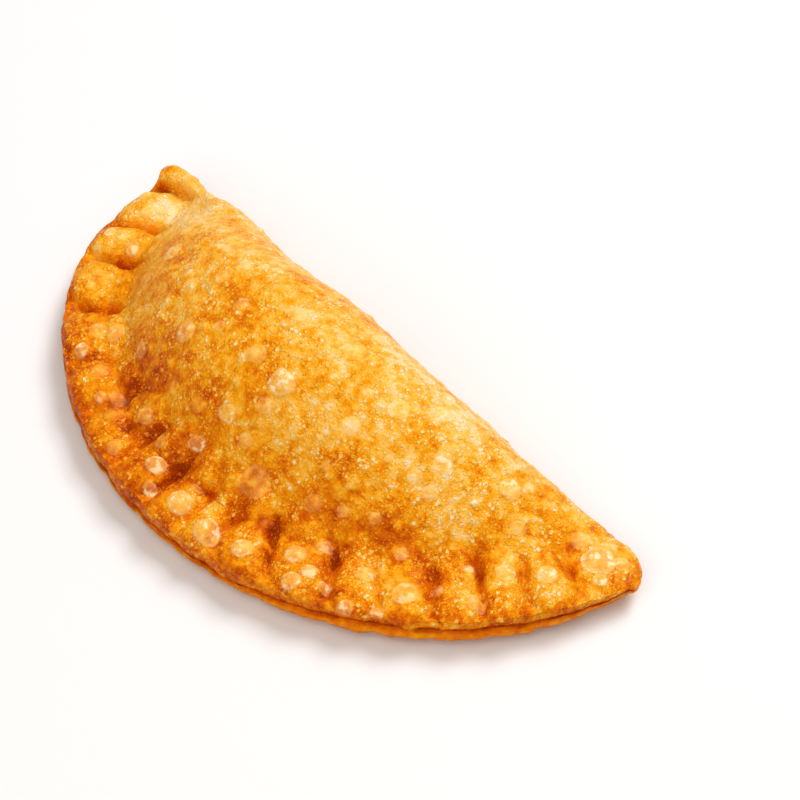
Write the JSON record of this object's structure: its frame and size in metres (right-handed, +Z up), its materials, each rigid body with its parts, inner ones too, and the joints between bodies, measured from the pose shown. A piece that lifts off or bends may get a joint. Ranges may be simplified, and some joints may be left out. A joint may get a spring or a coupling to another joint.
{
  "type": "chicken empanada",
  "caption": "Fried half-moon turnover with a domed belly, a straight fold and a crimped rim, its crust blistered; it lies flat on its underside.",
  "frame": {"origin": "middle of the footprint's bounding box, on the surface that the turnover lies on", "axes": "+X along the straight fold, towards the thinner tip; the crimped rim bulges towards -Y; +Z up out of the resting face"},
  "size_m": [0.1378, 0.063, 0.0281],
  "materials": {
    "fried_crust": "golden fried dough with a thin film of oil, browner in the crimps; matte plastic stands in for crust"
  },
  "bodies": {
    "root": {"empanada": "fried_crust"}
  },
  "joints": []
}
